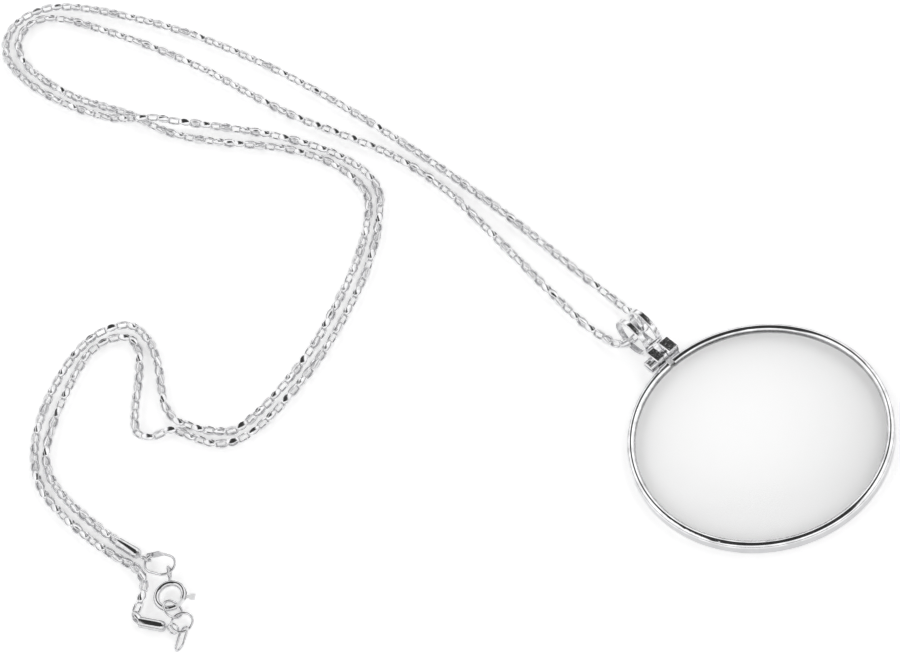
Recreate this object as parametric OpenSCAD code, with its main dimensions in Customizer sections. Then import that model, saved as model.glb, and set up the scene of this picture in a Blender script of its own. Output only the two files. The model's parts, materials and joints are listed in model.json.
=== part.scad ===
// Magnifier pendant: a round lens in a split ring frame, a double-loop bail
// and a fine chain laid doubled on the table, closed by a spring-ring clasp.

/* [Lens] */
// Diameter of the glass lens
lens_d = 45.5; // [40:0.5:48]
// Thickness of the glass at its edge
lens_edge_t = 1; // [0.8:0.1:1.2]
// Height of the bulge on each face of the lens
lens_bulge = 0.75; // [0.4:0.05:0.9]

/* [Ring frame] */
// Width of the ring seen from above, lip included
rim_w = 1.25; // [1.25:0.05:2.4]
// Height of the ring
rim_h = 2.4; // [2.3:0.1:4]
// How far each lip reaches in over the lens
lip_w = 0.2; // [0.15:0.05:0.4]
// Radius of the ring's outer top corner
rim_round = 0.8; // [0.5:0.1:0.8]
// Width of the slit where the ring is split
slit_w = 1.1; // [0.9:0.1:1.8]
// Direction of the slit from the ring's centre, in degrees
slit_angle = 116.3; // [100:0.1:130]

/* [Lugs and screw] */
// Length of the two lugs, outwards from the ring
lug_len = 2.6; // [2.6:0.1:4]
// Height of the two lugs
lug_h = 4.4; // [4:0.1:6]
// Width of the lug that the screw's thread grips
lug_thread_w = 2.2; // [1.6:0.1:3]
// Width of the lug under the screw's head
lug_head_w = 1.8; // [1.4:0.1:3]
// Bevel along the lugs' top edges
lug_bevel = 0.15; // [0.05:0.05:0.3]
// Diameter of the screw's shank
screw_d = 0.9; // [0.7:0.1:1.2]
// Diameter of the screw's head
screw_head_d = 2.5; // [1.8:0.1:3.2]
// Thickness of the screw's head
screw_head_t = 1.2; // [0.8:0.1:2]
// Number of ribs round the screw's head
screw_ribs = 14; // [8:1:20]

/* [Bail] */
// Outer diameter of each of the bail's two loops
bail_d = 8.1; // [7.6:0.1:10]
// Width of the loops' band
bail_band_w = 1.1; // [0.8:0.1:1.3]
// Thickness of the loops' band
bail_band_t = 0.6; // [0.4:0.05:0.7]
// Distance between the middles of the two bands
bail_pitch = 3; // [2.8:0.1:3.2]
// Diameter of the bar that joins the loops
bail_bar_d = 1.1; // [0.9:0.1:1.3]
// Diameter of the bail's eye on the screw
bail_eye_d = 2.4; // [2:0.1:3]

/* [Chain] */
// Diameter of the chain
chain_d = 2; // [1.6:0.1:2.1]

/* [End caps] */
// Diameter of the end caps
cap_d = 2.1; // [1.9:0.1:2.4]
// Length of the end caps, eye left out
cap_len = 5; // [4.6:0.1:5.2]
// Diameter of the hole that the chain's last link sits in
cap_bore_d = 1.6; // [1.2:0.1:1.7]
// Depth of that hole
cap_bore_len = 1.4; // [1:0.1:3]
// Outer diameter of the eye on each cap
cap_eye_d = 2.4; // [2.2:0.1:2.6]
// Diameter of the eye's wire
cap_eye_wire = 0.4; // [0.3:0.05:0.5]
// Length of the stem between a cap and its eye
cap_stem = 0.5; // [0.3:0.1:0.8]

/* [Jump rings] */
// Diameter of the wire of the jump rings
ring_wire = 0.5; // [0.35:0.05:0.55]
// Length of the oval ring beside the clasp
oval_len = 6.4; // [6.2:0.1:6.8]
// Width of the oval ring beside the clasp
oval_wid = 4.6; // [4.4:0.1:5]
// Outer diameter of the ring that the clasp is hooked on
catch_d = 4.2; // [4.1:0.1:4.4]
// Outer diameter of the ring in the second cap's eye
cap_ring_d = 4.4; // [4.3:0.1:4.6]
// Length of the free loop at the end
end_loop_len = 5.2; // [5:0.1:6]
// Width of the free loop at the end
end_loop_wid = 3.4; // [3.2:0.1:3.8]

/* [Spring-ring clasp] */
// Outer diameter of the clasp
clasp_d = 6.2; // [6:0.1:6.6]
// Outer diameter of the clasp's tube
clasp_tube_d = 1.15; // [1.05:0.05:1.25]
// Wall of the clasp's tube
clasp_wall = 0.16; // [0.12:0.02:0.2]
// Play between the sliding bolt and the tube's bore
bolt_gap = 0.06; // [0.04:0.01:0.1]
// Opening between the tube's two ends, in degrees
clasp_gap = 42; // [36:1:46]
// How far the trigger slides the bolt back, in degrees
bolt_travel = 46; // [36:1:50]
// Length of the trigger beyond the tube
trigger_len = 1.6; // [1:0.1:2]
// Width of the trigger's thumb piece
trigger_wid = 1.2; // [0.8:0.1:1.6]
// Outer diameter of the loop on the clasp's back
tail_d = 2.7; // [2.6:0.1:2.9]
// Diameter of that loop's wire
tail_wire = 0.44; // [0.36:0.02:0.5]

/* [Tag] */
// Length of the small plain tag
tag_len = 3.8; // [3.4:0.1:4.4]
// Width of the tag
tag_wid = 1.4; // [1.3:0.1:1.6]
// Thickness of the tag
tag_t = 0.2; // [0.15:0.05:0.3]
// Diameter of the hole at the tag's end
tag_hole_d = 0.95; // [0.9:0.05:1.05]

/* [Hidden] */
$fn = 64;
// clearances
table_gap = 0.05;
seat_gap = 0.06;
screw_gap = 0.06;
slit_gap = 0.1;
sink = 0.12;
big = 20;

// the ring and its lens
clear_r = lens_d / 2 - lip_w;
rim_r = clear_r + rim_w;
lens_z = table_gap + lens_bulge + lens_edge_t / 2;
bulge_r = (pow(lens_d / 2, 2) + pow(lens_bulge, 2)) / (2 * lens_bulge);
lens_steps = 12;

// the ring's other corners
lip_round = 0.42;
foot_round = 0.4;

// the screw's axis, measured outwards from the ring's centre and up
screw_x = rim_r + lug_len / 2;
screw_z = lug_h / 2;
screw_face = slit_w / 2 + lug_head_w;
screw_end = 0.5;

// how far the lugs' inner faces stand in from the ring's outer wall
lug_set = 0.25;

// the bail
bail_r = bail_d / 2;
bail_gap = 0.25;
bail_bar_x = rim_r + lug_len + bail_bar_d / 2 + bail_gap;
bail_x = bail_bar_x + bail_r - bail_band_t / 2;
bail_z = table_gap + bail_r;
bail_link_w = 1.1;
bail_pos = [38.59, -40.45];
ring_pos = bail_pos - bail_x * [cos(slit_angle), sin(slit_angle)];

// where the pieces at the chain's ends lie, and the way that they point
cap_z = table_gap + max(cap_d, chain_d) / 2;
cap_a_turn = -52;
cap_b_turn = -33;
cap_eye_x = cap_len + cap_stem + cap_eye_d / 2 - cap_eye_wire / 2;
cap_eye_tilt = 58;
oval_pos = [-56.67, -53.27, 1.2];
oval_turn = -38;
oval_tilt = 3;
clasp_pos = [-56.2, -60.7, 1.3];
clasp_turn = -11;
clasp_tilt = 4;
catch_pos = [-56.25, -63.85, 1.62];
catch_tilt = 45;
cap_ring_pos = [-55.28, -66.87, 1.23];
end_loop_pos = [-56, -70.2, 1.37];
end_loop_turn = -117;
end_loop_tilt = 45;

// the clasp's arcs, in degrees from its own x axis
clasp_r = (clasp_d - clasp_tube_d) / 2;
bore_d = clasp_tube_d - 2 * clasp_wall;
bolt_d = bore_d - 2 * bolt_gap;
gap_start = -66;
gap_end = gap_start + clasp_gap;
trigger_w = 0.5;
trigger_at = gap_end + 11;
slot_play = 3;
trigger_half = asin(trigger_w / 2 / clasp_r);
bolt_tip = gap_start - 6;
bolt_back = trigger_at + 14;
bore_back = bolt_back + bolt_travel + 4;
tail_x = clasp_d / 2 + tail_d / 2 + 0.25;

// the tag hangs on the oval ring, this far round the ring's end
tag_on_ring = 112;
tag_turn = -28;
tag_pitch = 24;

// the route of the chain, from the first end cap through the bail to the second
chain_route = [
    [-63, -46, 1.1], [-66.8, -40, 1.1], [-70.6, -33, 1.1], [-72.6, -27.2, 1.1],
    [-72.7, -21.8, 1.1], [-70.6, -16, 1.1], [-63.8, -5.2, 1.1], [-60, -1.2, 1.1],
    [-55.8, 0.1, 1.1], [-52.5, -1, 1.1], [-51.2, -4.4, 1.1], [-52, -9.6, 1.1],
    [-54.9, -20, 1.1], [-55, -23.4, 1.1], [-52.8, -25.3, 1.1], [-48.7, -25.3, 1.1],
    [-44.8, -29, 1.1], [-41.2, -31.7, 1.1], [-37.4, -32.4, 1.1], [-32.4, -30.8, 1.1],
    [-19.4, -21, 1.1], [-10.2, -10.7, 1.1], [-4.2, -2, 1.1], [0.2, 7.8, 1.1],
    [1.6, 14, 1.1], [0.2, 20, 1.1], [-4.8, 27.4, 1.1], [-13.8, 35.8, 1.1],
    [-27.6, 45.4, 1.1], [-32.8, 48, 1.9], [-36.6, 49.6, 3.1], [-40.4, 51, 3.2],
    [-44.4, 53.8, 2], [-51, 60.2, 1.1], [-57.9, 68.6, 1.1], [-61.7, 75.8, 1.1],
    [-63.1, 82.2, 1.1], [-61.4, 87.6, 1.1], [-57.7, 90.5, 1.1], [-52.8, 91, 1.1],
    [-47.4, 89, 1.1], [-29.2, 74.6, 1.1], [-11.8, 55, 1.1], [4.4, 31.4, 1.1],
    [21.2, 2.3, 1.1], [32.8, -21.4, 1.1], [38.8, -33.4, 1.1], [40, -35.9, 1.6],
    [40.5, -37.2, 2], [40.1, -38.3, 2.1], [36, -40.4, 2.1], [34.8, -40, 2],
    [33.7, -38.8, 1.5], [32.7, -37, 1.1],
    [30.2, -32.8, 1.1], [18, -1, 1.1], [14, 8.8, 1.1], [6.2, 21.8, 1.1],
    [-10.8, 41, 1.1], [-26, 61.8, 1.1], [-40.8, 78.2, 1.1], [-50.8, 87, 1.1],
    [-54.8, 88.4, 1.1], [-58, 87.2, 1.1], [-60, 84.2, 1.1], [-60.2, 80.2, 1.1],
    [-58.5, 74.7, 1.1], [-51.6, 64.3, 1.1], [-41.4, 54.4, 1.1], [-34.8, 46.4, 1.1],
    [-27.6, 40.8, 1.1], [-13.4, 32.2, 1.1], [-6.4, 25.8, 1.1], [-2.4, 19.6, 1.1],
    [-0.8, 13.8, 1.1], [-2.2, 7.8, 1.1], [-6.4, -0.6, 1.1], [-12.2, -8.8, 1.1],
    [-21.4, -19.4, 1.1], [-33, -28.2, 1.1], [-37.6, -29.9, 1.1], [-41.6, -28.4, 1.1],
    [-45, -26, 1.1], [-47.6, -23.2, 1.1], [-48.8, -19.4, 1.1], [-48.2, -8.6, 1.1],
    [-49, -2.6, 1.1], [-51.8, 2, 1.1], [-56.8, 2.6, 1.1], [-61.6, 0.6, 1.1],
    [-68, -6, 1.1], [-73.2, -15, 1.1], [-75.1, -22.8, 1.1], [-74.8, -28.8, 1.1],
    [-72.6, -34.8, 1.1], [-68, -43.2, 1.1], [-63.6, -49.4, 1.1], [-61.1, -52.4, 1.1],
    [-60.4, -54.5, 1.1], [-60.3, -56.4, 1.1], [-61.8, -59.9, 1.1], [-63, -62, 1.1],
    [-62.5, -63.9, 1.1]];

// a round wire bent into a closed loop of the given outer length and width
module wire_loop(len, wid, wire) {
    r = (wid - wire) / 2;
    half = (len - wid) / 2;
    if (half < 0.01) {
        rotate_extrude() translate([r, 0]) circle(d = wire, $fn = 32);
    } else {
        for (s = [-1, 1]) {
            translate([s * half, 0, 0]) rotate([0, 0, -90 * s])
                rotate_extrude(angle = 180) translate([r, 0]) circle(d = wire, $fn = 32);
            translate([-half, s * r, 0]) rotate([0, 90, 0])
                cylinder(d = wire, h = 2 * half, $fn = 32);
        }
    }
}

// an arc of round rod from one angle to another
module rod_arc(r, d, from, to) {
    rotate([0, 0, from]) rotate_extrude(angle = to - from)
        translate([r, 0]) circle(d = d, $fn = 32);
}

// the frame's own axes: x outwards through the slit, z up
module at_slit() {
    translate([ring_pos.x, ring_pos.y, 0]) rotate([0, 0, slit_angle]) children();
}

module ring_section() {
    difference() {
        union() {
            translate([clear_r + lip_round, 0]) square([rim_w - lip_round - rim_round, rim_h]);
            translate([clear_r, 0]) square([rim_w - foot_round, rim_h - rim_round]);
            translate([clear_r, foot_round]) square([rim_w, rim_h - rim_round - foot_round]);
            translate([clear_r + lip_round, rim_h - lip_round]) circle(r = lip_round);
            translate([rim_r - rim_round, rim_h - rim_round]) circle(r = rim_round);
            translate([rim_r - foot_round, foot_round]) circle(r = foot_round);
            translate([clear_r, rim_h - rim_round - 0.01]) square([lip_round * 1.2, rim_round - lip_round + 0.01]);
        }
        translate([clear_r - 1, lens_z - lens_edge_t / 2 - seat_gap])
            square([1 + lip_w + seat_gap, lens_edge_t + 2 * seat_gap]);
    }
}

// a lug from y = 0 to y = w, its top and outer edges bevelled
module lug(w) {
    x0 = rim_r - rim_w / 2;
    x1 = rim_r + lug_len;
    xt = rim_r - lug_set;
    intersection() {
        translate([0, w, 0]) rotate([90, 0, 0]) linear_extrude(w)
            polygon([[x0, 0], [x1 - lug_bevel, 0], [x1, lug_bevel], [x1, lug_h - lug_bevel],
                [x1 - lug_bevel, lug_h], [xt, lug_h], [xt, rim_h * 0.6], [x0, rim_h * 0.6]]);
        translate([x0, 0, 0]) rotate([90, 0, 90]) linear_extrude(big)
            polygon([[0, 0], [w, 0], [w, lug_h - lug_bevel], [w - lug_bevel, lug_h],
                [lug_bevel, lug_h], [0, lug_h - lug_bevel]]);
    }
}

module ring_frame() {
    color([0.86, 0.87, 0.88])
    at_slit() difference() {
        union() {
            difference() {
                rotate_extrude($fn = 180) ring_section();
                translate([0, -slit_w / 2, -1]) cube([big + rim_r, slit_w, rim_h + 2]);
            }
            translate([0, slit_w / 2, 0]) lug(lug_head_w);
            translate([0, -slit_w / 2 - lug_thread_w, 0]) lug(lug_thread_w);
        }
        // the screw's hole, through one lug and nearly through the other
        translate([screw_x, big, screw_z]) rotate([90, 0, 0])
            cylinder(d = screw_d + 2 * screw_gap, h = big + slit_w / 2 + lug_thread_w - screw_end);
    }
}

// how far one face of the lens stands above its middle, at a distance from the axis
function lens_face(x) = lens_edge_t / 2 + lens_bulge - bulge_r + sqrt(pow(bulge_r, 2) - x * x);

module lens() {
    color([0.9, 0.95, 0.97, 0.5])
    translate([ring_pos.x, ring_pos.y, lens_z]) rotate_extrude($fn = 180) polygon(concat(
        [for (i = [0 : lens_steps]) let (x = lens_d / 2 * i / lens_steps) [x, lens_face(x)]],
        [for (i = [lens_steps : -1 : 0]) let (x = lens_d / 2 * i / lens_steps) [x, -lens_face(x)]]));
}

module clamp_screw() {
    color([0.8, 0.81, 0.83])
    at_slit() translate([screw_x, 0, screw_z]) {
        end = slit_w / 2 + lug_thread_w - screw_end - seat_gap;
        translate([0, screw_face + sink, 0]) rotate([90, 0, 0])
            cylinder(d = screw_d, h = screw_face + sink + end);
        difference() {
            translate([0, screw_face + screw_head_t, 0]) rotate([90, 0, 0])
                cylinder(d = screw_head_d, h = screw_head_t);
            // ribs to grip, and the driver's slot
            for (i = [0 : screw_ribs - 1]) rotate([0, i * 360 / screw_ribs, 0])
                translate([screw_head_d / 2, screw_face + screw_head_t + 1, 0]) rotate([90, 0, 0])
                    cylinder(d = screw_head_d * 0.1, h = screw_head_t + 2, $fn = 24);
            translate([-big / 2, screw_face + screw_head_t * 0.6, -0.2])
                cube([big, screw_head_t, 0.4]);
        }
    }
}

// one loop of the bail, standing on edge, round its own y axis
module bail_band() {
    e = bail_band_t * 0.3;
    rotate([90, 0, 0]) rotate_extrude($fn = 96) {
        translate([bail_r - bail_band_t, -bail_band_w / 2 + e]) square([bail_band_t, bail_band_w - 2 * e]);
        translate([bail_r - bail_band_t, -bail_band_w / 2]) square([bail_band_t - e, bail_band_w]);
        for (s = [-1, 1])
            translate([bail_r - e, s * (bail_band_w / 2 - e)]) circle(r = e, $fn = 32);
    }
}

module bail() {
    color([0.86, 0.87, 0.88])
    at_slit() {
        w = slit_w - 2 * slit_gap;
        dx = bail_bar_x - screw_x;
        dz = bail_z - screw_z;
        // the eye on the screw and the link up to the bar
        difference() {
            union() {
                translate([screw_x, w / 2, screw_z]) rotate([90, 0, 0]) cylinder(d = bail_eye_d, h = w);
                translate([screw_x, 0, screw_z]) rotate([0, -atan2(dz, dx), 0])
                    translate([0, -w / 2, -bail_link_w / 2]) cube([norm([dx, dz]), w, bail_link_w]);
            }
            translate([screw_x, big / 2, screw_z]) rotate([90, 0, 0])
                cylinder(d = screw_d + 2 * screw_gap, h = big);
        }
        translate([bail_bar_x, bail_pitch / 2, bail_z]) rotate([90, 0, 0])
            cylinder(d = bail_bar_d, h = bail_pitch);
        for (s = [-1, 1]) translate([bail_x, s * bail_pitch / 2, bail_z]) bail_band();
    }
}

// the way that the chain runs at a point of its route
function unit(v) = v / norm(v);
function heading(a) = [cos(a), sin(a), 0];
function way(i) =
    i == 0 ? -heading(cap_a_turn)
    : i == len(chain_route) - 1 ? heading(cap_b_turn)
    : unit(unit(chain_route[i] - chain_route[i - 1]) + unit(chain_route[i + 1] - chain_route[i]));
function round_point(i, k) =
    let (t = way(i), side = unit(cross([0, 0, 1], t)), up = cross(t, side), a = 45 * k)
    chain_route[i] + chain_d / 2 * (cos(a) * side + sin(a) * up);

module chain() {
    n = len(chain_route);
    color([0.82, 0.83, 0.85])
    polyhedron(
        points = [for (i = [0 : n - 1]) for (k = [0 : 7]) round_point(i, k)],
        faces = concat(
            [[for (k = [0 : 7]) k]],
            [for (i = [0 : n - 2]) for (k = [0 : 7])
                [8 * i + k, 8 * (i + 1) + k, 8 * (i + 1) + (k + 1) % 8]],
            [for (i = [0 : n - 2]) for (k = [0 : 7])
                [8 * i + k, 8 * (i + 1) + (k + 1) % 8, 8 * i + (k + 1) % 8]],
            [[for (k = [7 : -1 : 0]) 8 * (n - 1) + k]]));
}

// an end cap along x, its mouth at the origin, its eye at the far end
module end_cap(tilt) {
    r = cap_d / 2;
    shoulder = cap_len - r * 0.6;
    rotate([0, 90, 0]) rotate_extrude() polygon([[0, cap_bore_len], [cap_bore_d / 2, cap_bore_len],
        [cap_bore_d / 2, 0], [r, 0], [r, shoulder], [r * 0.85, cap_len - r * 0.22],
        [r * 0.5, cap_len], [cap_eye_wire / 2, cap_len], [cap_eye_wire / 2, cap_len + cap_stem], [0, cap_len + cap_stem]]);
    translate([cap_eye_x, 0, 0]) rotate([tilt, 0, 0])
        wire_loop(cap_eye_d, cap_eye_d, cap_eye_wire);
}

module end_cap_a() {
    color([0.84, 0.85, 0.87])
    translate([chain_route[0].x, chain_route[0].y, cap_z]) rotate([0, 0, cap_a_turn]) end_cap(-cap_eye_tilt);
}

module end_cap_b() {
    last = chain_route[len(chain_route) - 1];
    color([0.84, 0.85, 0.87])
    translate([last.x, last.y, cap_z]) rotate([0, 0, cap_b_turn]) end_cap(cap_eye_tilt);
}

module oval_ring() {
    color([0.8, 0.81, 0.83])
    translate(oval_pos) rotate([0, -oval_tilt, oval_turn]) wire_loop(oval_len, oval_wid, ring_wire);
}

// the clasp's own axes: its tube lies in the plane z = 0
module at_clasp() {
    translate(clasp_pos) rotate([0, 0, clasp_turn]) rotate([clasp_tilt, 0, 0]) children();
}

module clasp_ring() {
    color([0.84, 0.85, 0.87])
    at_clasp() {
        difference() {
            rod_arc(clasp_r, clasp_tube_d, gap_end, gap_start + 360);
            // the bore that the bolt slides in, at both sides of the opening
            rod_arc(clasp_r, bore_d, gap_end - 1, bore_back);
            rod_arc(clasp_r, bore_d, gap_start - 9, gap_start + 1);
            // the slot for the trigger
            rotate([0, 0, trigger_at - trigger_half - slot_play])
                rotate_extrude(angle = bolt_travel + 2 * trigger_half + 2 * slot_play)
                translate([clasp_r, -trigger_w / 2 - bolt_gap]) square([big, trigger_w + 2 * bolt_gap]);
        }
        // the loop on the back, standing on edge, on its short stem
        translate([0, tail_x, 0]) rotate([-clasp_tilt, 0, 0]) rotate([0, 90, 0])
            wire_loop(tail_d, tail_d, tail_wire);
        translate([0, clasp_d / 2 - clasp_tube_d / 2, 0]) rotate([-90, 0, 0])
            cylinder(d = tail_wire * 1.3, h = tail_x - tail_d / 2 + tail_wire / 2 - clasp_d / 2 + clasp_tube_d / 2);
    }
}

module clasp_trigger() {
    color([0.8, 0.81, 0.83])
    at_clasp() {
        rod_arc(clasp_r, bolt_d, bolt_tip, bolt_back);
        rotate([0, 0, trigger_at]) {
            reach = clasp_tube_d / 2 + trigger_len;
            translate([clasp_r, -trigger_w / 2, -trigger_w / 2]) cube([reach, trigger_w, trigger_w]);
            translate([clasp_r + reach - trigger_len * 0.6, -trigger_wid / 2, -trigger_w / 2])
                cube([trigger_len * 0.6, trigger_wid, trigger_w]);
        }
    }
}

module catch_ring() {
    color([0.8, 0.81, 0.83])
    translate(catch_pos) rotate([0, catch_tilt, 0]) wire_loop(catch_d, catch_d, ring_wire);
}

module cap_ring() {
    color([0.8, 0.81, 0.83])
    translate(cap_ring_pos) wire_loop(cap_ring_d, cap_ring_d, ring_wire);
}

module end_loop() {
    color([0.8, 0.81, 0.83])
    translate(end_loop_pos) rotate([0, 0, end_loop_turn]) rotate([end_loop_tilt, 0, 0])
        wire_loop(end_loop_len, end_loop_wid, ring_wire);
}

module tag() {
    r = (oval_wid - ring_wire) / 2;
    color([0.84, 0.85, 0.87])
    translate(oval_pos) rotate([0, -oval_tilt, oval_turn])
        translate([-(oval_len - oval_wid) / 2, 0, 0])
        rotate([0, 0, -oval_turn])
        translate([r * cos(tag_on_ring), r * sin(tag_on_ring), 0])
        rotate([0, 0, tag_turn]) rotate([0, -tag_pitch, 0]) rotate([90, 0, 0])
        translate([0, 0, -tag_t / 2]) linear_extrude(tag_t) difference() {
            union() {
                translate([0, -tag_wid / 2]) square([tag_len - tag_wid / 2, tag_wid]);
                circle(d = tag_wid);
            }
            circle(d = tag_hole_d);
        }
}

ring_frame();
lens();
clamp_screw();
bail();
chain();
end_cap_a();
end_cap_b();
oval_ring();
clasp_ring();
clasp_trigger();
catch_ring();
cap_ring();
end_loop();
tag();
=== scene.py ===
# %% [markdown]
# # A magnifier pendant on its chain
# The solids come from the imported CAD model, in metres, lying on the surface z = 0. This
# script lays about four hundred links along the chain's route, gives the metal and the glass
# their looks, and sets the table, the light and the camera at the photograph's angle.

# %%
import json
import math
import random

import bmesh
import bpy
from mathutils import Matrix, Vector


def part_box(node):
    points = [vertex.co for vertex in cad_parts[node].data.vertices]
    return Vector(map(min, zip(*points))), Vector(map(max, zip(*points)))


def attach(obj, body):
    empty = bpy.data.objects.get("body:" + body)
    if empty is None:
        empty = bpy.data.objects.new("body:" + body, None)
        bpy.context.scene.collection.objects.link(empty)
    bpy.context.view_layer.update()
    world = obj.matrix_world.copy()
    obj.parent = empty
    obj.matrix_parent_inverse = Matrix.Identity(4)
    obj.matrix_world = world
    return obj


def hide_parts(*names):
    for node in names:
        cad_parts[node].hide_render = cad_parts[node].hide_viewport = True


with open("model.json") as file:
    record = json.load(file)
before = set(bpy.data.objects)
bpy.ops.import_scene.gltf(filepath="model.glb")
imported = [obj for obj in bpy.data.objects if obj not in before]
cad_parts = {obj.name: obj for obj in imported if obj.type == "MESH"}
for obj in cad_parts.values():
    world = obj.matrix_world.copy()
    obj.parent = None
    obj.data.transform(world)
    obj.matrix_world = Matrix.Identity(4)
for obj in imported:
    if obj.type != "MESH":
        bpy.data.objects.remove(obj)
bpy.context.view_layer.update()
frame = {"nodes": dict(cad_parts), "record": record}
print("CAD nodes:", ", ".join(sorted(frame["nodes"])))

# %% [markdown]
# ## The chain's route
# These are the points of the part's own chain, from the first end cap through the bail and
# back to the second cap. They are written in millimetres and used in metres. A smooth curve
# goes through them all, and the links are spaced evenly along it.

# %%
MM = 0.001
ROUTE_MM = [
    (-63, -46, 1.1), (-66.8, -40, 1.1), (-70.6, -33, 1.1), (-72.6, -27.2, 1.1),
    (-72.7, -21.8, 1.1), (-70.6, -16, 1.1), (-63.8, -5.2, 1.1), (-60, -1.2, 1.1),
    (-55.8, 0.1, 1.1), (-52.5, -1, 1.1), (-51.2, -4.4, 1.1), (-52, -9.6, 1.1),
    (-54.9, -20, 1.1), (-55, -23.4, 1.1), (-52.8, -25.3, 1.1), (-48.7, -25.3, 1.1),
    (-44.8, -29, 1.1), (-41.2, -31.7, 1.1), (-37.4, -32.4, 1.1), (-32.4, -30.8, 1.1),
    (-19.4, -21, 1.1), (-10.2, -10.7, 1.1), (-4.2, -2, 1.1), (0.2, 7.8, 1.1),
    (1.6, 14, 1.1), (0.2, 20, 1.1), (-4.8, 27.4, 1.1), (-13.8, 35.8, 1.1),
    (-27.6, 45.4, 1.1), (-32.8, 48, 1.9), (-36.6, 49.6, 3.1), (-40.4, 51, 3.2),
    (-44.4, 53.8, 2), (-51, 60.2, 1.1), (-57.9, 68.6, 1.1), (-61.7, 75.8, 1.1),
    (-63.1, 82.2, 1.1), (-61.4, 87.6, 1.1), (-57.7, 90.5, 1.1), (-52.8, 91, 1.1),
    (-47.4, 89, 1.1), (-29.2, 74.6, 1.1), (-11.8, 55, 1.1), (4.4, 31.4, 1.1),
    (21.2, 2.3, 1.1), (32.8, -21.4, 1.1), (38.8, -33.4, 1.1), (40, -35.9, 1.6),
    (40.5, -37.2, 2), (40.1, -38.3, 2.1), (36, -40.4, 2.1), (34.8, -40, 2),
    (33.7, -38.8, 1.5), (32.7, -37, 1.1),
    (30.2, -32.8, 1.1), (18, -1, 1.1), (14, 8.8, 1.1), (6.2, 21.8, 1.1),
    (-10.8, 41, 1.1), (-26, 61.8, 1.1), (-40.8, 78.2, 1.1), (-50.8, 87, 1.1),
    (-54.8, 88.4, 1.1), (-58, 87.2, 1.1), (-60, 84.2, 1.1), (-60.2, 80.2, 1.1),
    (-58.5, 74.7, 1.1), (-51.6, 64.3, 1.1), (-41.4, 54.4, 1.1), (-34.8, 46.4, 1.1),
    (-27.6, 40.8, 1.1), (-13.4, 32.2, 1.1), (-6.4, 25.8, 1.1), (-2.4, 19.6, 1.1),
    (-0.8, 13.8, 1.1), (-2.2, 7.8, 1.1), (-6.4, -0.6, 1.1), (-12.2, -8.8, 1.1),
    (-21.4, -19.4, 1.1), (-33, -28.2, 1.1), (-37.6, -29.9, 1.1), (-41.6, -28.4, 1.1),
    (-45, -26, 1.1), (-47.6, -23.2, 1.1), (-48.8, -19.4, 1.1), (-48.2, -8.6, 1.1),
    (-49, -2.6, 1.1), (-51.8, 2, 1.1), (-56.8, 2.6, 1.1), (-61.6, 0.6, 1.1),
    (-68, -6, 1.1), (-73.2, -15, 1.1), (-75.1, -22.8, 1.1), (-74.8, -28.8, 1.1),
    (-72.6, -34.8, 1.1), (-68, -43.2, 1.1), (-63.6, -49.4, 1.1), (-61.1, -52.4, 1.1),
    (-60.4, -54.5, 1.1), (-60.3, -56.4, 1.1), (-61.8, -59.9, 1.1), (-63, -62, 1.1),
    (-62.5, -63.9, 1.1),
]
LINK_PITCH = 2.2 * MM   # from one link's middle to the next one's
LINK_BAND = 0.8 * MM    # the width of a link's band at its two ends
LINK_SWELL = 1.62       # how many times wider the band is at the middle of its sides
LINK_THICK = 0.34 * MM  # the thickness of the band
LINK_R = 0.56 * MM      # the radius of its round ends, to the middle of the band
# from a link's middle to the middle of each round end, so that the ends just bear on the next
LINK_HALF = LINK_PITCH / 2 - LINK_R + LINK_THICK / 2
LINK_BEVEL = 0.07 * MM  # the rounding of the band's edges
LINK_SIDES = 12         # sides of the cylinder that a link starts as, two of them straight
LINK_CUTS = 3           # cuts in each straight side, where it swells
SAME_ROW = 0.01 * MM    # edges this close to a row belong to it
BEVEL_FROM = math.radians(60)   # edges sharper than this are rounded
SMOOTH_TO = math.radians(50)    # edges flatter than this are shaded smooth
FIRST_LINK = 1.25 * MM  # the first link's middle, beyond the end cap's mouth
LEAN = 45               # links lean this many degrees either way, in turn
LEAN_DRIFT = 7          # and the whole chain twists slowly by this much
LEAN_LOOSE = 14         # each link also sits askew by about this much
DRIFT_STEP = 0.11       # how far the slow twist goes on with each link, in radians


def smooth_curve(points, steps=24):
    """Centripetal Catmull-Rom curve through the points, as many short straight steps."""
    run = [points[0] * 2 - points[1]] + points + [points[-1] * 2 - points[-2]]
    out = []
    for i in range(1, len(run) - 2):
        four = run[i - 1:i + 3]
        t = [0.0]
        for a, b in zip(four, four[1:]):
            t.append(t[-1] + math.sqrt((b - a).length))
        for k in range(steps):
            s = t[1] + (t[2] - t[1]) * k / steps
            ends = [(0, 1), (1, 2), (2, 3)]
            level = four
            for pairs in (ends, [(0, 2), (1, 3)], [(1, 2)]):
                level = [
                    (level[j] * (t[b] - s) + level[j + 1] * (s - t[a])) / (t[b] - t[a])
                    for j, (a, b) in enumerate(pairs)
                ]
            out.append(level[0])
    out.append(points[-1])
    return out


curve = smooth_curve([Vector(p) * MM for p in ROUTE_MM])
travel = [0.0]
for a, b in zip(curve, curve[1:]):
    travel.append(travel[-1] + (b - a).length)
print("chain route: %.1f mm" % (travel[-1] / MM))


def place_on_route(s):
    """(point, direction) at the distance s along the chain's curve."""
    low, high = 0, len(travel) - 1
    while high - low > 1:
        middle = (low + high) // 2
        if travel[middle] <= s:
            low = middle
        else:
            high = middle
    share = (s - travel[low]) / (travel[high] - travel[low])
    return curve[low].lerp(curve[high], share), (curve[high] - curve[low]).normalized()


# %% [markdown]
# ## One link
# A link starts as an open cylinder. Its two halves are pulled apart lengthwise, so that it
# has straight sides. These swell in the middle to the oval plates that the photograph shows.
# Solidify gives the band its thickness, and Bevel its rounded edges.

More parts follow.
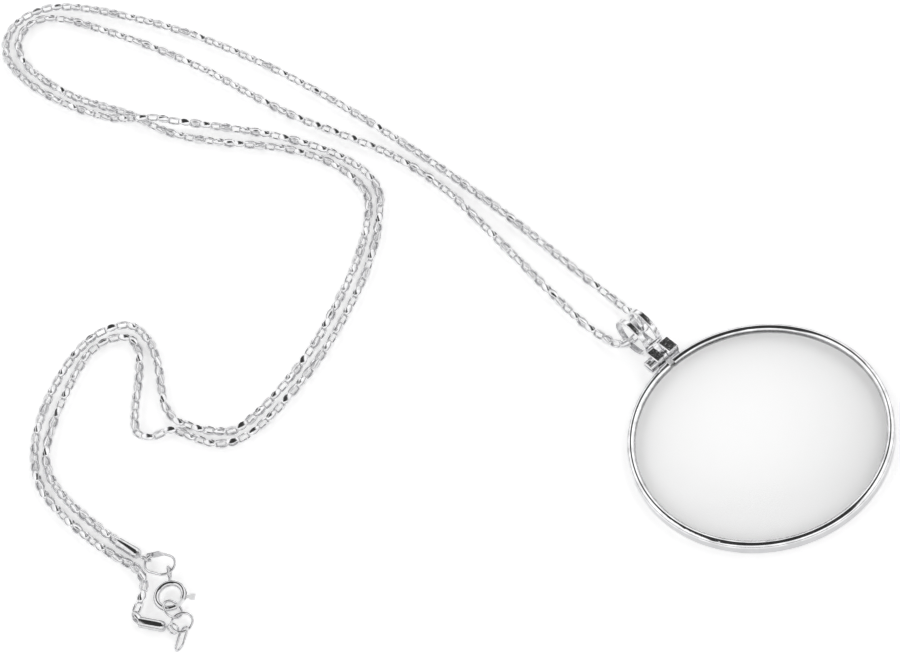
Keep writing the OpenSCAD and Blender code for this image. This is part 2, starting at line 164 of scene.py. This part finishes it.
# %%
def pick(obj, test):
    """Selects the edges whose two ends pass the test, in edit mode."""
    bpy.ops.mesh.select_all(action="DESELECT")
    mesh = bmesh.from_edit_mesh(obj.data)
    for edge in mesh.edges:
        if test(edge.verts[0].co, edge.verts[1].co):
            edge.select_set(True)
    bmesh.update_edit_mesh(obj.data)


half_side = math.radians(180 / LINK_SIDES)
bpy.ops.object.select_all(action="DESELECT")
bpy.ops.mesh.primitive_cylinder_add(
    vertices=LINK_SIDES, radius=LINK_R, depth=LINK_BAND, end_fill_type="NOTHING",
    location=(0, 0, 0), rotation=(0, 0, half_side))
link = bpy.context.object
link.name = "link_pattern"
bpy.ops.object.transform_apply(location=True, rotation=True, scale=True)
bpy.ops.object.mode_set(mode="EDIT")
bpy.ops.mesh.select_mode(type="EDGE")
for side in (-1, 1):
    pick(link, lambda a, b: a.x * side > 0 and b.x * side > 0)
    bpy.ops.transform.translate(value=(side * LINK_HALF, 0, 0))
pick(link, lambda a, b: a.x * b.x < 0)
bpy.ops.mesh.subdivide(number_cuts=LINK_CUTS)
reach = LINK_HALF + LINK_R * math.sin(half_side)
for share in (0, 0.5):
    row = share * reach
    swell = 1 + (LINK_SWELL - 1) * (1 - share ** 2)
    pick(link, lambda a, b: all(abs(abs(end.x) - row) < SAME_ROW for end in (a, b)))
    bpy.ops.transform.resize(value=(1, 1, swell))
bpy.ops.mesh.select_all(action="SELECT")
bpy.ops.mesh.normals_make_consistent(inside=False)
bpy.ops.object.mode_set(mode="OBJECT")
wall = link.modifiers.new("wall", "SOLIDIFY")
wall.thickness = LINK_THICK
wall.offset = 0
edges = link.modifiers.new("edges", "BEVEL")
edges.width = LINK_BEVEL
edges.segments = 1
edges.limit_method = "ANGLE"
edges.angle_limit = BEVEL_FROM
for step in (wall.name, edges.name):
    bpy.ops.object.modifier_apply(modifier=step)
bpy.ops.object.shade_smooth_by_angle(angle=SMOOTH_TO)
print("link:", len(link.data.polygons), "faces,", [round(d / MM, 2) for d in link.dimensions], "mm")

# %% [markdown]
# ## The chain
# Links are copied along the curve. Each is turned about a quarter turn from the last one, about
# the chain's own line, so that each link's end passes through the next one's opening. The whole
# chain twists a little as it goes, and each link sits a little askew. The first and the last
# link reach just into the end caps.

# %%
random.seed(7)
run_len = travel[-1] - 2 * FIRST_LINK
count = round(run_len / LINK_PITCH) + 1
links = []
for k in range(count):
    spot, along = place_on_route(FIRST_LINK + run_len * k / (count - 1))
    across = Vector((0, 0, 1)).cross(along).normalized()
    lift = along.cross(across)
    drift = LEAN_DRIFT * math.sin(k * DRIFT_STEP) + random.gauss(0, LEAN_LOOSE)
    lean = math.radians((LEAN if k % 2 else -LEAN) + drift)
    wide = across * math.cos(lean) + lift * math.sin(lean)
    turn = Matrix((along, wide, along.cross(wide))).transposed().to_4x4()
    copy = link.copy()
    copy.data = link.data.copy()
    copy.data.transform(Matrix.Translation(spot) @ turn)
    bpy.context.scene.collection.objects.link(copy)
    links.append(copy)
bpy.data.objects.remove(link, do_unlink=True)
bpy.ops.object.select_all(action="DESELECT")
for piece in links:
    piece.select_set(True)
bpy.context.view_layer.objects.active = links[0]
bpy.ops.object.join()
chain_links = bpy.context.object
chain_links.name = "chain_links"
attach(chain_links, "necklace")
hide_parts("chain")
print("links:", count, "faces:", len(chain_links.data.polygons))

# %% [markdown]
# ## Looks
# All metal is bright plating. One group of nodes gives it its handling marks: faint cloudy
# patches in its gloss and colour, and a very fine unevenness. Each metal sets its own values.
# The ring's metal has painted light: its wall is a greyer shade, and its rounded top and lugs get a
# painted highlight.

# %%
PATCH_FROM, PATCH_TO = 0.35, 0.7  # how much of the noise shows as dull patches
FINE_SCALE = 3500       # the fine unevenness
FINE_DEPTH = 0.1 * MM


def make_plating():
    """The group: handling marks on bright plating, from Object coordinates."""
    group = bpy.data.node_groups.new("plating_marks", "ShaderNodeTree")
    face = group.interface
    for name, kind, value in (
        ("Color", "NodeSocketColor", (0.8, 0.8, 0.8, 1)),
        ("Dull Color", "NodeSocketColor", (0.6, 0.6, 0.6, 1)),
        ("Gloss", "NodeSocketFloat", 0.08),
        ("Haze", "NodeSocketFloat", 0.1),
        ("Patch Size", "NodeSocketFloat", 500.0),
        ("Grain", "NodeSocketFloat", 0.01),
    ):
        socket = face.new_socket(name, in_out="INPUT", socket_type=kind)
        socket.default_value = value
    for name, kind in (
        ("Color", "NodeSocketColor"),
        ("Roughness", "NodeSocketFloat"),
        ("Normal", "NodeSocketVector"),
    ):
        face.new_socket(name, in_out="OUTPUT", socket_type=kind)
    node, wire = group.nodes.new, group.links.new
    given, result = node("NodeGroupInput"), node("NodeGroupOutput")
    coords = node("ShaderNodeTexCoord")
    clouds = node("ShaderNodeTexNoise")
    clouds.inputs["Detail"].default_value = 3
    wire(coords.outputs["Object"], clouds.inputs["Vector"])
    wire(given.outputs["Patch Size"], clouds.inputs["Scale"])
    spread = node("ShaderNodeMapRange")
    spread.inputs["From Min"].default_value = PATCH_FROM
    spread.inputs["From Max"].default_value = PATCH_TO
    wire(clouds.outputs["Fac"], spread.inputs["Value"])
    tint = node("ShaderNodeMix")
    tint.data_type = "RGBA"
    wire(spread.outputs["Result"], tint.inputs["Factor"])
    wire(given.outputs["Color"], tint.inputs["A"])
    wire(given.outputs["Dull Color"], tint.inputs["B"])
    wire(tint.outputs["Result"], result.inputs["Color"])
    rough = node("ShaderNodeMath")
    rough.operation = "MULTIPLY_ADD"
    wire(spread.outputs["Result"], rough.inputs[0])
    wire(given.outputs["Haze"], rough.inputs[1])
    wire(given.outputs["Gloss"], rough.inputs[2])
    wire(rough.outputs[0], result.inputs["Roughness"])
    fine = node("ShaderNodeTexNoise")
    fine.inputs["Scale"].default_value = FINE_SCALE
    wire(coords.outputs["Object"], fine.inputs["Vector"])
    bump = node("ShaderNodeBump")
    bump.inputs["Distance"].default_value = FINE_DEPTH
    wire(given.outputs["Grain"], bump.inputs["Strength"])
    wire(fine.outputs["Fac"], bump.inputs["Height"])
    wire(bump.outputs["Normal"], result.inputs["Normal"])
    return group


PLATING = make_plating()


def metal(name, color, dull, gloss, haze, patch, grain):
    """Plated metal; gloss is its roughness, and haze how much rougher its dull patches are."""
    mat = bpy.data.materials.new(name)
    mat.use_nodes = True
    tree = mat.node_tree
    shader = tree.nodes["Principled BSDF"]
    shader.inputs["Metallic"].default_value = 1
    marks = tree.nodes.new("ShaderNodeGroup")
    marks.node_tree = PLATING
    marks.inputs["Color"].default_value = (*color, 1)
    marks.inputs["Dull Color"].default_value = (*dull, 1)
    marks.inputs["Gloss"].default_value = gloss
    marks.inputs["Haze"].default_value = haze
    marks.inputs["Patch Size"].default_value = patch
    marks.inputs["Grain"].default_value = grain
    tree.links.new(marks.outputs["Color"], shader.inputs["Base Color"])
    tree.links.new(marks.outputs["Roughness"], shader.inputs["Roughness"])
    tree.links.new(marks.outputs["Normal"], shader.inputs["Normal"])
    return mat


RING_TOP = 2.4 * MM     # the lens ring's height; only its lugs stand above it
RING_WALL = 1.05 * MM   # from the lens's edge to the ring's outside
RING_ROUND = 0.8 * MM   # the rounding of its upper outer edge
LUG_SOFT = 0.15 * MM    # how gently the painted highlight comes in at the lugs
TOP_SOFT = 0.3 * MM     # and at the rounded top
TOP_PAINTED_HIGHLIGHT = (0.88, 0.88, 0.89, 1)  # painted highlight on the rounded top of the ring, and on the lugs
LUG_GRAIN = 0.4         # the lugs' tops are cast and rough, where the ring is turned and smooth
LUG_FROM, LUG_TO = RING_TOP + 0.5 * MM, RING_TOP + 0.7 * MM  # where that grain comes in

METALS = {
    "frame_metal": metal(
        "frame_plating", (0.79, 0.79, 0.8), (0.7, 0.7, 0.71), 0.05, 0.15, 1300, 0.015),
    "chain_metal": metal(
        "chain_plating", (0.78, 0.78, 0.79), (0.62, 0.62, 0.63), 0.1, 0.12, 700, 0.03),
    "fitting_metal": metal(
        "fitting_plating", (0.7, 0.7, 0.71), (0.55, 0.55, 0.56), 0.07, 0.08, 900, 0.03),
}
BRUSHED = metal(
    "trigger_brushed", (0.95, 0.95, 0.95), (0.88, 0.88, 0.89), 0.6, 0.15, 1500, 0.1)
HAMMERED = metal(
    "bail_plating", (0.82, 0.82, 0.83), (0.7, 0.7, 0.71), 0.06, 0.15, 1300, 0.25)
# the ring's grey colour is painted shade on its wall; its top and lugs get a painted highlight
# further on
RING_PAINTED_LIGHT = metal(
    "ring_plating_painted_light", (0.65, 0.65, 0.66), (0.61, 0.61, 0.62), 0.05, 0.06, 400, 0.004)

lens_low, lens_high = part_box("lens")
lens_r = (lens_high[0] - lens_low[0]) / 2
LENS_MIDDLE = [(a + b) / 2 for a, b in zip(lens_low, lens_high)]


def paint_ring_highlight(mat):
    """Paints a highlight on the ring's rounded top and lugs over its grey, shaded wall, and gives
    the lugs rough tops.
    """
    tree = mat.node_tree
    node, wire = tree.nodes.new, tree.links.new
    marks = next(n for n in tree.nodes if n.type == "GROUP")
    where = node("ShaderNodeTexCoord")
    split = node("ShaderNodeSeparateXYZ")
    wire(where.outputs["Object"], split.inputs[0])
    raised = node("ShaderNodeMapRange")
    raised.inputs["From Min"].default_value = LUG_FROM
    raised.inputs["From Max"].default_value = LUG_TO
    raised.inputs["To Min"].default_value = marks.inputs["Grain"].default_value
    raised.inputs["To Max"].default_value = LUG_GRAIN
    wire(split.outputs["Z"], raised.inputs["Value"])
    wire(raised.outputs["Result"], marks.inputs["Grain"])
    outward = node("ShaderNodeVectorMath")
    outward.operation = "DISTANCE"
    outward.inputs[1].default_value = LENS_MIDDLE
    wire(where.outputs["Object"], outward.inputs[0])
    lug = node("ShaderNodeMapRange")
    lug.inputs["From Min"].default_value = lens_r + RING_WALL
    lug.inputs["From Max"].default_value = lens_r + RING_WALL + LUG_SOFT
    wire(outward.outputs["Value"], lug.inputs["Value"])
    rounded = node("ShaderNodeMapRange")
    rounded.inputs["From Min"].default_value = RING_TOP - RING_ROUND
    rounded.inputs["From Max"].default_value = RING_TOP - RING_ROUND + TOP_SOFT
    wire(split.outputs["Z"], rounded.inputs["Value"])
    either = node("ShaderNodeMath")
    either.operation = "MAXIMUM"
    wire(lug.outputs["Result"], either.inputs[0])
    wire(rounded.outputs["Result"], either.inputs[1])
    # the painted highlight, where the rounded top and the lugs are
    tone = node("ShaderNodeMix")
    tone.data_type = "RGBA"
    tone.inputs["A"].default_value = marks.inputs["Color"].default_value
    tone.inputs["B"].default_value = TOP_PAINTED_HIGHLIGHT
    wire(either.outputs[0], tone.inputs["Factor"])
    wire(tone.outputs["Result"], marks.inputs["Color"])


paint_ring_highlight(RING_PAINTED_LIGHT)
print("metals:", ", ".join(sorted(METALS)), "and those of the trigger, the bail and the ring")

# %% [markdown]
# ## The lens
# The lens is clear glass, with light and shade painted into its colour: a painted highlight a
# little to one side of its middle, and painted shade that greys it towards its edge, as a thick
# lens looks on a white sheet. A thin dark line of painted shade runs round its rim. Light that
# only lights something, and isn't seen, goes straight through it, so that the table under it is
# lit as through a real lens.

# %%
# where the painted highlight on the lens is brightest
LENS_PAINTED_SPOT = (LENS_MIDDLE[0] - 0.12 * lens_r, LENS_MIDDLE[1] + 0.2 * lens_r, LENS_MIDDLE[2])
LENS_SHADE_REACH = 1.22 * lens_r  # how far from there the painted shade reaches its full grey
# the glass's colour at its painted highlight, and its painted shade towards the edge
LENS_HIGHLIGHT_TINT = (0.95, 0.95, 0.95, 1)
LENS_PAINTED_SHADE = (0.74, 0.74, 0.74, 1)
GLASS_IOR = 1.52
LENS_RIM_PAINTED_SHADE = (0.2, 0.2, 0.2, 1)  # painted shade: a thin dark line at the lens's rim
RIM_SHADE_FROM, RIM_SHADE_TO = lens_r - 0.6 * MM, lens_r - 0.35 * MM  # where that painted rim shade begins, and where it is full
FILM_SCALE, FILM_ROUGH = 140, 0.004  # the faint film of handling on the glass
FILM_FROM, FILM_TO = 0.45, 0.75
LIGHT_THROUGH = (0.99, 0.99, 0.99, 1)


def lens_look():
    """Clear glass with painted shade: greyer outward from a painted highlight, with a painted dark
    line at its rim.
    """
    mat = bpy.data.materials.new("lens_glass_painted_shade")
    mat.use_nodes = True
    tree = mat.node_tree
    node, wire = tree.nodes.new, tree.links.new
    glass = tree.nodes["Principled BSDF"]
    glass.inputs["Metallic"].default_value = 0
    glass.inputs["Transmission Weight"].default_value = 1
    glass.inputs["IOR"].default_value = GLASS_IOR
    film = node("ShaderNodeTexNoise")
    film.inputs["Scale"].default_value = FILM_SCALE
    film.inputs["Detail"].default_value = 4
    place = node("ShaderNodeTexCoord")
    wire(place.outputs["Object"], film.inputs["Vector"])
    haze = node("ShaderNodeMapRange")
    haze.inputs["From Min"].default_value = FILM_FROM
    haze.inputs["From Max"].default_value = FILM_TO
    haze.inputs["To Min"].default_value = 0.0
    haze.inputs["To Max"].default_value = FILM_ROUGH
    wire(film.outputs["Fac"], haze.inputs["Value"])
    wire(haze.outputs["Result"], glass.inputs["Roughness"])
    outward = node("ShaderNodeVectorMath")
    outward.operation = "DISTANCE"
    outward.inputs[1].default_value = LENS_PAINTED_SPOT
    wire(place.outputs["Object"], outward.inputs[0])
    share = node("ShaderNodeMath")
    share.operation = "DIVIDE"
    share.inputs[1].default_value = LENS_SHADE_REACH
    wire(outward.outputs["Value"], share.inputs[0])
    square = node("ShaderNodeMath")
    square.operation = "POWER"
    square.inputs[1].default_value = 2
    wire(share.outputs[0], square.inputs[0])
    from_middle = node("ShaderNodeVectorMath")
    from_middle.operation = "DISTANCE"
    from_middle.inputs[1].default_value = LENS_MIDDLE
    wire(place.outputs["Object"], from_middle.inputs[0])
    # the painted dark line of shade round the lens's rim
    rim = node("ShaderNodeMapRange")
    rim.inputs["From Min"].default_value = RIM_SHADE_FROM
    rim.inputs["From Max"].default_value = RIM_SHADE_TO
    wire(from_middle.outputs["Value"], rim.inputs["Value"])
    # ground: mixes that painted rim shade over the glass's colour
    ground = node("ShaderNodeMix")
    ground.data_type = "RGBA"
    ground.inputs["B"].default_value = LENS_RIM_PAINTED_SHADE
    wire(rim.outputs["Result"], ground.inputs["Factor"])
    # the painted highlight and painted shade in the glass's colour
    shade = node("ShaderNodeMix")
    shade.data_type = "RGBA"
    shade.inputs["A"].default_value = LENS_HIGHLIGHT_TINT
    shade.inputs["B"].default_value = LENS_PAINTED_SHADE
    wire(square.outputs[0], shade.inputs["Factor"])
    wire(shade.outputs["Result"], ground.inputs["A"])
    wire(ground.outputs["Result"], glass.inputs["Base Color"])
    clear = node("ShaderNodeBsdfTransparent")
    clear.inputs["Color"].default_value = LIGHT_THROUGH
    path = node("ShaderNodeLightPath")
    unseen = node("ShaderNodeMath")
    unseen.operation = "MAXIMUM"
    wire(path.outputs["Is Shadow Ray"], unseen.inputs[0])
    wire(path.outputs["Is Diffuse Ray"], unseen.inputs[1])
    mix = node("ShaderNodeMixShader")
    wire(unseen.outputs[0], mix.inputs[0])
    wire(glass.outputs["BSDF"], mix.inputs[1])
    wire(clear.outputs["BSDF"], mix.inputs[2])
    wire(mix.outputs["Shader"], tree.nodes["Material Output"].inputs["Surface"])
    return mat


LENS = lens_look()
print("lens: radius %.2f mm" % (lens_r / MM))

# %% [markdown]
# ## Dressing the pieces
# Each CAD node gets the metal or the glass of its slot. The trigger, the bail and the ring have
# metals of their own.

# %%
WELD_GAP = 0.000001       # a CAD node's points closer than this are one
SHARP = math.radians(32)  # its edges turn sharp from this angle


def dress(obj, mat):
    """Gives a piece its material."""
    if obj.material_slots:
        for held in obj.material_slots:
            held.material = mat
    else:
        obj.data.materials.append(mat)


def smooth_cad(obj):
    """Joins a CAD node's loose triangles as it is drawn, and shades its curves smooth."""
    weld = obj.modifiers.new("weld", "WELD")
    weld.merge_threshold = WELD_GAP
    split = obj.modifiers.new("edges", "EDGE_SPLIT")
    split.split_angle = SHARP
    for face in obj.data.polygons:
        face.use_smooth = True


for row in frame["record"]["subparts"]:
    obj = frame["nodes"][row["node"]]
    material_slot = row["material_slot"]
    dress(obj, LENS if material_slot == "lens_glass" else METALS[material_slot])
    smooth_cad(obj)
for name, look in (("clasp_trigger", BRUSHED), ("bail", HAMMERED), ("ring_frame", RING_PAINTED_LIGHT)):
    dress(frame["nodes"][name], look)
dress(chain_links, METALS["chain_metal"])

# %% [markdown]
# ## Table and light
# The table is a plain white sheet. The light is a white dome, brightest overhead, with one
# dark strip that rises from the far side and over the top, where the photographer's room
# shows: flat faces that look up mirror it and turn black, and so does the ring's near edge.

# %%
TABLE_SIZE = 6
TABLE_DROP = 0.00002  # just under the pieces, so that none lies in its plane
TABLE_GLOW = 0.35     # its light from below, as in a photographer's light table
PAPER_WHITE = (0.93, 0.93, 0.93, 1)
PAPER_ROUGH, PAPER_SHINE = 0.7, 0.2

bpy.ops.object.select_all(action="DESELECT")
bpy.ops.mesh.primitive_plane_add(size=TABLE_SIZE, location=(0, 0, -TABLE_DROP))
table = bpy.context.object
table.name = "table_top"
paper = bpy.data.materials.new("table_white")
paper.use_nodes = True
paper_shader = paper.node_tree.nodes["Principled BSDF"]
paper_shader.inputs["Base Color"].default_value = PAPER_WHITE
paper_shader.inputs["Roughness"].default_value = PAPER_ROUGH
paper_shader.inputs["Specular IOR Level"].default_value = PAPER_SHINE
paper_shader.inputs["Emission Color"].default_value = (1, 1, 1, 1)
paper_shader.inputs["Emission Strength"].default_value = TABLE_GLOW
dress(table, paper)

# (sine of the elevation, brightness) of the dome
DOME = [
    (-1.0, 1.0), (-0.04, 0.25), (0.1, 0.2), (0.24, 1.05), (0.6, 1.15), (0.85, 1.4), (1.0, 1.5),
]
DOME_STRENGTH = 2.2
# the dark strip, in degrees: it rises from the far side, over the top and a little beyond
STRIP_FROM, STRIP_TO, STRIP_SOFT = 43, 124, 4
STRIP_SIDE, STRIP_SIDE_SOFT = 12, 5   # half its width at its foot
STRIP_FLARE = 0.34                    # how much wider each side gets for each degree it rises
STRIP_TURN = 3                        # its foot, from +Y towards +X
STRIP_DARK = 0.03

world = bpy.data.worlds.new("studio_dome")
bpy.context.scene.world = world
world.use_nodes = True
sky = world.node_tree
new, wire = sky.nodes.new, sky.links.new
aim = new("ShaderNodeTexCoord")
parts = new("ShaderNodeSeparateXYZ")
wire(aim.outputs["Generated"], parts.inputs[0])


def sky_math(operation, a, b=None):
    """A Math node; a and b are numbers or sockets."""
    step = new("ShaderNodeMath")
    step.operation = operation
    for i, value in enumerate((a, b)):
        if isinstance(value, (int, float)):
            step.inputs[i].default_value = value
        elif value is not None:
            wire(value, step.inputs[i])
    return step.outputs[0]


def soft_step(value, start, end):
    """0 before start, 1 after end, smooth between."""
    ease = new("ShaderNodeMapRange")
    ease.interpolation_type = "SMOOTHSTEP"
    ease.inputs["From Min"].default_value = start
    ease.inputs["From Max"].default_value = end
    wire(value, ease.inputs["Value"])
    return ease.outputs["Result"]


DEGREES = 180 / math.pi  # in a radian
cos_turn, sin_turn = math.cos(math.radians(STRIP_TURN)), math.sin(math.radians(STRIP_TURN))
x, y, z = parts.outputs["X"], parts.outputs["Y"], parts.outputs["Z"]
far = sky_math(
    "ADD", sky_math("MULTIPLY", y, cos_turn), sky_math("MULTIPLY", x, sin_turn))
side = sky_math(
    "SUBTRACT", sky_math("MULTIPLY", x, cos_turn), sky_math("MULTIPLY", y, sin_turn))
along = sky_math("MULTIPLY", sky_math("ARCTAN2", z, far), DEGREES)
aside = sky_math("MULTIPLY", sky_math("ARCSINE", sky_math("ABSOLUTE", side)), DEGREES)
flare = sky_math("MULTIPLY", sky_math("SUBTRACT", along, STRIP_FROM), STRIP_FLARE)
begun = soft_step(along, STRIP_FROM - STRIP_SOFT, STRIP_FROM + STRIP_SOFT)
ended = soft_step(along, STRIP_TO - STRIP_SOFT, STRIP_TO + STRIP_SOFT)
beside = soft_step(
    sky_math("SUBTRACT", aside, flare), STRIP_SIDE - STRIP_SIDE_SOFT, STRIP_SIDE + STRIP_SIDE_SOFT)
strip = sky_math(
    "MULTIPLY", sky_math("SUBTRACT", begun, ended), sky_math("SUBTRACT", 1.0, beside))
ramp = new("ShaderNodeValToRGB")
ramp.color_ramp.interpolation = "LINEAR"
for i, (sine, bright) in enumerate(DOME):
    at = (sine + 1) / 2
    stop = ramp.color_ramp.elements[i] if i < 2 else ramp.color_ramp.elements.new(at)
    stop.position = at
    stop.color = (bright / 2, bright / 2, bright / 2, 1)
# z from -1..1 to 0..1: the node's third value, which it adds, is 0.5 of itself
wire(sky_math("MULTIPLY_ADD", z, 0.5), ramp.inputs["Fac"])
lit = sky_math("SUBTRACT", 1.0, sky_math("MULTIPLY", strip, 1 - STRIP_DARK))
glow = sky_math("MULTIPLY", ramp.outputs["Color"], lit)
backdrop = sky.nodes["Background"]
wire(glow, backdrop.inputs["Color"])
backdrop.inputs["Strength"].default_value = DOME_STRENGTH
print("dome:", len(DOME), "levels, the strip from", STRIP_FROM, "to", STRIP_TO, "degrees")

# %% [markdown]
# ## Camera
# It stands where the photograph was taken from, worked out from the lens ring's ellipse and the
# chain's lay, and is turned about its line of sight as that picture is.

# %%
CAMERA_AT = Vector((6.3, -359.05, 435.0)) * MM
LOOK_DOWN = math.radians(52.27)
ROLL = math.radians(18.53)
LENS_MM = 117.9

bpy.ops.object.camera_add()
camera = bpy.context.object
camera.name = "photo_camera"
level_up = Vector((0, math.sin(LOOK_DOWN), math.cos(LOOK_DOWN)))
ahead = Vector((0, math.cos(LOOK_DOWN), -math.sin(LOOK_DOWN)))
right = Vector((1, 0, 0)) * math.cos(ROLL) - level_up * math.sin(ROLL)
up = Vector((1, 0, 0)) * math.sin(ROLL) + level_up * math.cos(ROLL)
turn = Matrix((right, up, -ahead)).transposed().to_4x4()
camera.matrix_world = Matrix.Translation(CAMERA_AT) @ turn
camera.data.lens = LENS_MM
camera.data.sensor_width = 36
camera.data.clip_start = 0.01
camera.data.clip_end = 20
bpy.context.scene.camera = camera
bpy.context.scene.view_settings.view_transform = "Standard"
bpy.context.scene.view_settings.look = "None"
# The lens traps some light by total reflection, and it comes out again only after many
# bounces, which count as glossy ones. With too few, a low view shows a hard dark band there.
LENS_BOUNCES = 32
bpy.context.scene.cycles.max_bounces = LENS_BOUNCES
bpy.context.scene.cycles.glossy_bounces = LENS_BOUNCES
print("camera", [round(v, 4) for v in CAMERA_AT], "lens", LENS_MM)
